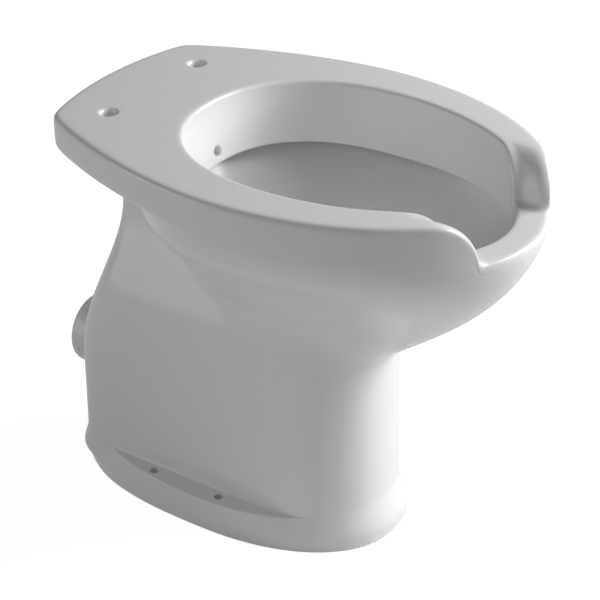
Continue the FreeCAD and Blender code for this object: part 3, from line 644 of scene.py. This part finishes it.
def make_body():
    """Outer body: pedestal, neck and hull, hollow inside, with its two pipe holes."""
    angles = pan_angles()
    keel = LIP_TOP - HULL_FRONT_DEPTH - BODY_WALL
    shaft = [SKIRT_TOP + (keel - SKIRT_TOP) * step / SHAFT_STEPS for step in range(1, SHAFT_STEPS)]
    hull = [keel + (HULL_TOP_ROW - keel) * step / HULL_STEPS for step in range(HULL_STEPS + 1)]
    soft = [CRISP + LEDGE_FILLET * share for share in ledge_share(angles)]
    rows = []
    for out, up in FILLET_TURN:
        levels = [LEDGE_HEIGHT + size * up for size in soft]
        line = trace(body_gauge, angles, levels)
        rows.append(raised(inset(line, [-size * out for size in soft]), levels))
    for share in SKIRT_SHARES:
        levels = [low + (SKIRT_ROWS[0] - low) * share for low in levels]
        rows.append(raised(trace(body_gauge, angles, levels), levels))
    outer = [*SKIRT_ROWS, *shaft, *hull, RIM_JOINT - 1, RIM_JOINT]
    rows += [raised(trace(body_gauge, angles, z), z) for z in outer]
    top = len(rows) - 1
    inner = [RIM_JOINT, RIM_JOINT - 1, *hull[::-2], *shaft[::-2], SKIRT_TOP, LEDGE_HEIGHT + 1, LEDGE_HEIGHT]
    rows += [raised(trace(cavity_gauge, angles, z), z) for z in inner]
    last = len(rows) - 1
    body = ring_piece("china_body", rows, sharp=(0, top, top + 1, last), second_slot=range(top, last + 1))
    cut(body, cylinder(COLLAR_RADIUS + JOINT_GAP, (0, SPIGOT_ROOT - TRAP_RADIUS, OUTLET_HEIGHT),
                       (0, OUTLET_REACH, OUTLET_HEIGHT)))
    cut(body, cylinder(INLET_RADIUS + JOINT_GAP, (0, INLET_ROOT, INLET_HEIGHT),
                       (0, DECK_REACH, INLET_HEIGHT)))
    return body


def make_foot():
    """Foot band with its ledges and floor-screw holes."""
    angles = pan_angles()
    ledges = ledge_share(angles)

    def line(height):
        """The foot's outline, which runs up into the pedestal's beyond the ends of the ledges."""
        levels = height if isinstance(height, list) else [height] * len(angles)
        meets = [(1 - share) * smoothstep(SKIRT_FOOT, LEDGE_HEIGHT, level)
                 for share, level in zip(ledges, levels)]
        return between(trace(foot_gauge, angles, levels), trace(body_gauge, angles, levels), meets)

    rows = [raised(inset(line(0.0), draw_in), z) for draw_in, z in FOOT_BASE_TURN]
    rows += [raised(line(z), z) for z in FOOT_ROWS]
    soft = [CRISP + LEDGE_ROUND * share for share in ledges]
    turns = [LEDGE_HEIGHT - LEDGE_TURN_START * size for size in soft]
    for share in FOOT_SHARES:
        levels = [FOOT_ROWS[-1] + (turn - FOOT_ROWS[-1]) * share for turn in turns]
        rows.append(raised(line(levels), levels))
    for draw_in, down in LEDGE_TURN:
        levels = [LEDGE_HEIGHT - size * down for size in soft]
        rows.append(raised(inset(line(levels), [size * draw_in for size in soft]), levels))
    ledge = inset(line(LEDGE_HEIGHT), soft)
    hollow = trace(cavity_gauge, angles, LEDGE_HEIGHT)
    rows += [raised(between(ledge, hollow, share), LEDGE_HEIGHT) for share in LEDGE_SHARES]
    top = len(rows) - 1
    rows += [raised(hollow, z) for z in FOOT_HOLLOW_ROWS]
    last = len(rows) - 1
    foot = ring_piece("china_foot", rows, sharp=(top, last), second_slot=range(top, last + 1))
    for x in (-FLOOR_HOLE_X, FLOOR_HOLE_X):
        for y in FLOOR_HOLES_Y:
            place = (x, y, LEDGE_HEIGHT)
            flared_hole(foot, FLOOR_HOLE_RADIUS, FLOOR_HOLE_FLARE, place, (0, 0, 1), LEDGE_HEIGHT)
    return foot


def basin_line(angles, depth_share, wall):
    """Outline of the basin part of the way down, drawn out by wall."""
    wide = inset(trace(hull_gauge, angles, RIM_JOINT, OPENING_MID), BODY_WALL + BASIN_GAP + BASIN_WALL)
    mouth = trace(opening_gauge, angles, RIM_JOINT, OPENING_MID)
    top = between(mouth, wide, rear_share(angles, *BASIN_MOUTH_ANGLES))
    throat = [(BORE_RADIUS * math.sin(angle), THROAT_Y - BORE_RADIUS * math.cos(angle)) for angle in angles]
    shares = []
    for angle in angles:
        front = max(0.0, math.cos(angle)) ** BASIN_FRONT_FOCUS
        rear = max(0.0, -math.cos(angle)) ** BASIN_REAR_FOCUS
        power = BASIN_POWER + (BASIN_REAR_POWER - BASIN_POWER) * rear
        shares.append((1 - depth_share ** (1 + BASIN_FRONT_FULLNESS * front)) ** power)
    return inset(between(throat, top, shares), -wall)


def make_basin():
    """Bowl below the rim, down to the trap's throat."""
    angles = even_angles(BASIN_SIDES)
    steps = [0.0, BASIN_TOP_SHARE] + [step / BASIN_STEPS for step in range(1, BASIN_STEPS + 1)]

    def row(share, wall):
        return raised(basin_line(angles, share, wall), RIM_JOINT + (THROAT_HEIGHT - RIM_JOINT) * share)

    rows = [row(share, 0.0) for share in steps]
    low = len(rows) - 1
    rows += [row(share, BASIN_WALL) for share in reversed(steps)]
    last = len(rows) - 1
    return ring_piece("china_basin", rows, sharp=(0, low, low + 1, last), second_slot=range(low, last + 1))


def make_pipe(name, outside, bore, radius, inside, start, end, height):
    """Short pipe along Y with a rounded free end, which joins its outside and inside profiles."""
    lip, length = (radius - bore) / 2, end - start
    free = [(radius, length - 3 * lip), (radius, length - lip), (radius - 0.3 * lip, length - 0.2 * lip),
            (bore + lip, length), (bore + 0.3 * lip, length - 0.2 * lip), (bore, length - lip),
            (bore, length - 3 * lip)]
    rows = lathe_rows(outside + free + inside, (0.0, start, height), (0, 1, 0))
    return ring_piece(name, rows, sharp=(0, len(rows) - 1))


def make_spigot():
    """Outlet spigot, with the collar that fills the hole in the pedestal and ends in a soft step."""
    end = COLLAR_END - SPIGOT_ROOT
    outside = [(COLLAR_RADIUS, 0.0), (COLLAR_RADIUS, 1.0), (COLLAR_RADIUS, end - 4),
               (COLLAR_RADIUS - 0.4, end - 1), (TRAP_RADIUS + 0.6, end + 0.5), (TRAP_RADIUS, end + 4)]
    inside = [(BORE_RADIUS, 1.0), (BORE_RADIUS, 0.0)]
    return make_pipe("china_spigot", outside, BORE_RADIUS, TRAP_RADIUS, inside, SPIGOT_ROOT, OUTLET_REACH,
                     OUTLET_HEIGHT)


def make_inlet():
    """Socket for the flush pipe, with the stop that the pipe's end meets."""
    outside = [(INLET_RADIUS, 0.0), (INLET_RADIUS, 1.0)]
    inside = [(INLET_BORE, INLET_STOP + 1), (INLET_BORE - 0.3, INLET_STOP), (INLET_MOUTH + 1, INLET_STOP),
              (INLET_MOUTH, INLET_STOP - 0.7), (INLET_MOUTH, 0.0)]
    return make_pipe("china_flush_inlet", outside, INLET_BORE, INLET_RADIUS, inside, INLET_ROOT, INLET_END,
                     INLET_HEIGHT)


# Materials

class Shade:
    """Node tree of a material or world, and its main shader."""

    def __init__(self, owner, shader):
        owner.use_nodes = True
        self.tree = owner.node_tree
        self.surface = self.tree.nodes[shader].inputs

    def node(self, kind, inputs=(), **settings):
        """Make a node, set its options and feed or set its inputs."""
        made = self.tree.nodes.new(kind)
        for key, value in settings.items():
            setattr(made, key, value)
        for key, value in dict(inputs).items():
            self.feed(made.inputs[key], value)
        return made

    def feed(self, socket, value):
        """Link a socket's value in, or set a plain one."""
        if isinstance(value, Value):
            self.tree.links.new(value.socket, socket)
        else:
            socket.default_value = value


class Value:
    """One output socket that can be added and multiplied."""

    def __init__(self, shade, socket):
        self.shade = shade
        self.socket = socket

    def math(self, operation, other):
        made = self.shade.node("ShaderNodeMath", {0: self, 1: other}, operation=operation)
        return Value(self.shade, made.outputs[0])

    def __add__(self, other):
        return self.math("ADD", other)

    def __mul__(self, other):
        return self.math("MULTIPLY", other)

    __radd__ = __add__
    __rmul__ = __mul__


def noise(shade, scale, detail=2.0):
    """Smooth noise over the object's own coordinates."""
    place = shade.node("ShaderNodeTexCoord")
    made = shade.node("ShaderNodeTexNoise", {"Vector": Value(shade, place.outputs["Object"]),
                                             "Scale": scale, "Detail": detail})
    return Value(shade, made.outputs["Fac"])


def tint(shade, factor, low, high):
    """Colour between two, by a factor."""
    made = shade.node("ShaderNodeMix", {"Factor": factor}, data_type="RGBA")
    for socket, colour in ((made.inputs["A"], low), (made.inputs["B"], high)):
        shade.feed(socket, colour if isinstance(colour, Value) else (*colour, 1))
    return Value(shade, made.outputs["Result"])


def glaze(name, colour, roughness):
    """Glossy white glaze with a faint unevenness of tone, gloss and surface."""
    shade = Shade(bpy.data.materials.new(name), "Principled BSDF")
    cloud = noise(shade, CLOUD_SCALE)
    dipped = [part * CLOUD_DIP for part in colour]
    shade.feed(shade.surface["Base Color"], tint(shade, cloud, dipped, colour))
    shade.feed(shade.surface["Roughness"], cloud * CLOUD_GLOSS + roughness)
    shade.feed(shade.surface["IOR"], GLAZE_IOR)
    bump = shade.node("ShaderNodeBump", {"Strength": RIPPLE_STRENGTH, "Distance": RIPPLE_DEPTH,
                                         "Height": noise(shade, RIPPLE_SCALE, detail=1.0)})
    shade.feed(shade.surface["Normal"], Value(shade, bump.outputs["Normal"]))
    return bpy.data.materials[name]


def bisque(name, low, high):
    """Bare fired clay where no glaze goes; made very dark, it also serves as painted shade down inside the
    bored holes.
    """
    shade = Shade(bpy.data.materials.new(name), "Principled BSDF")
    grain = noise(shade, GRAIN_SCALE, detail=4.0)
    shade.feed(shade.surface["Base Color"], tint(shade, grain, low, high))
    shade.feed(shade.surface["Roughness"], CLAY_ROUGHNESS)
    return bpy.data.materials[name]


# Assembly

GLAZE = glaze("white_glaze", colour=(0.86, 0.86, 0.86), roughness=0.06)
INNER = glaze("inner_glaze", colour=(0.82, 0.82, 0.81), roughness=0.12)
BISQUE = bisque("bisque", low=(0.55, 0.52, 0.46), high=(0.68, 0.65, 0.59))
# Painted shade: a near-black colour for the walls deep inside the bored holes, standing in for the shade
# there
BORE_PAINTED_SHADE = bisque("bore_clay", low=(0.10, 0.095, 0.09), high=(0.16, 0.15, 0.14))


def dress(piece, node):
    """Give a piece its materials, smooth shading and place in the frame."""
    piece.data.materials.clear()
    # The third slot holds the painted shade for the holes' bores
    for material in (GLAZE, BISQUE, BORE_PAINTED_SHADE):
        piece.data.materials.append(material)
    bpy.ops.object.select_all(action="DESELECT")
    piece.select_set(True)
    bpy.context.view_layer.objects.active = piece
    bpy.ops.object.shade_smooth_by_angle(angle=SMOOTH_ANGLE)
    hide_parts(node)
    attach(piece, "root")


dress(make_rim(), "rim_and_deck")
dress(make_body(), "body_shell")
dress(make_foot(), "foot_ring")
dress(make_basin(), "bowl_basin")
dress(make_spigot(), "outlet_spigot")
dress(make_inlet(), "flush_inlet")
for node_name in ("trap_inlet_bend", "trap_weir_bend", "flush_chamber"):
    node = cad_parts[node_name]
    node.data.materials.clear()
    node.data.materials.append(INNER)


# Camera, light and backdrop

def make_camera():
    """Camera at the photo's place, with its long lens."""
    data = bpy.data.cameras.new("camera")
    camera = bpy.data.objects.new("camera", data)
    bpy.context.scene.collection.objects.link(camera)
    camera.location = CAMERA_PLACE
    camera.rotation_euler = Vector(CAMERA_AIM).to_track_quat("-Z", "Y").to_euler()
    data.sensor_width = CAMERA_SENSOR
    data.lens = CAMERA_LENS
    bpy.context.scene.camera = camera


def area_light(name, place, power):
    """Square soft light at a place, facing the bowl."""
    data = bpy.data.lights.new(name, "AREA")
    data.size = LIGHT_SIZE
    data.energy = power
    light = bpy.data.objects.new(name, data)
    bpy.context.scene.collection.objects.link(light)
    light.location = place
    light.rotation_euler = (Vector(LIGHT_TARGET) - Vector(place)).to_track_quat("-Z", "Y").to_euler()


def seen_share(shade):
    """1 for rays that show the backdrop, straight or in a reflection, and 0 for those that light."""
    path = shade.node("ShaderNodeLightPath").outputs
    seen = Value(shade, path["Is Camera Ray"]).math("MAXIMUM", Value(shade, path["Is Glossy Ray"]))
    return seen.math("MAXIMUM", Value(shade, path["Is Transmission Ray"]))


def camera_share(shade):
    """1 for rays straight from the camera."""
    return Value(shade, shade.node("ShaderNodeLightPath").outputs["Is Camera Ray"])


def make_stage():
    """Pale floor that keeps a soft shadow, and a white backdrop behind it."""
    bpy.ops.mesh.primitive_plane_add(size=FLOOR_SIZE, location=(0, 0, 0))
    floor = bpy.context.object
    floor.name = "floor"
    material = bpy.data.materials.new("floor_white")
    shade = Shade(material, "Principled BSDF")
    seen, camera_ray = seen_share(shade), camera_share(shade)
    dim = tint(shade, seen, (0, 0, 0), [FLOOR_REFLECTION] * 3)
    shade.feed(shade.surface["Base Color"], tint(shade, seen, [FLOOR_TONE] * 3, [FLOOR_SHADOW_TONE] * 3))
    shade.feed(shade.surface["Roughness"], FLOOR_ROUGHNESS)
    shade.feed(shade.surface["Emission Color"], tint(shade, camera_ray, dim, [FLOOR_GLOW] * 3))
    shade.feed(shade.surface["Emission Strength"], 1.0)
    floor.data.materials.append(material)
    world = bpy.data.worlds.new("studio")
    bpy.context.scene.world = world
    sky = Shade(world, "Background")
    dim = tint(sky, seen_share(sky), [SKY_TONE] * 3, [SKY_REFLECTION] * 3)
    sky.feed(sky.surface["Color"], tint(sky, camera_share(sky), dim, (1, 1, 1)))


make_camera()
make_stage()
for light in LIGHTS:
    area_light(*light)
bpy.context.scene.view_settings.view_transform = "Standard"
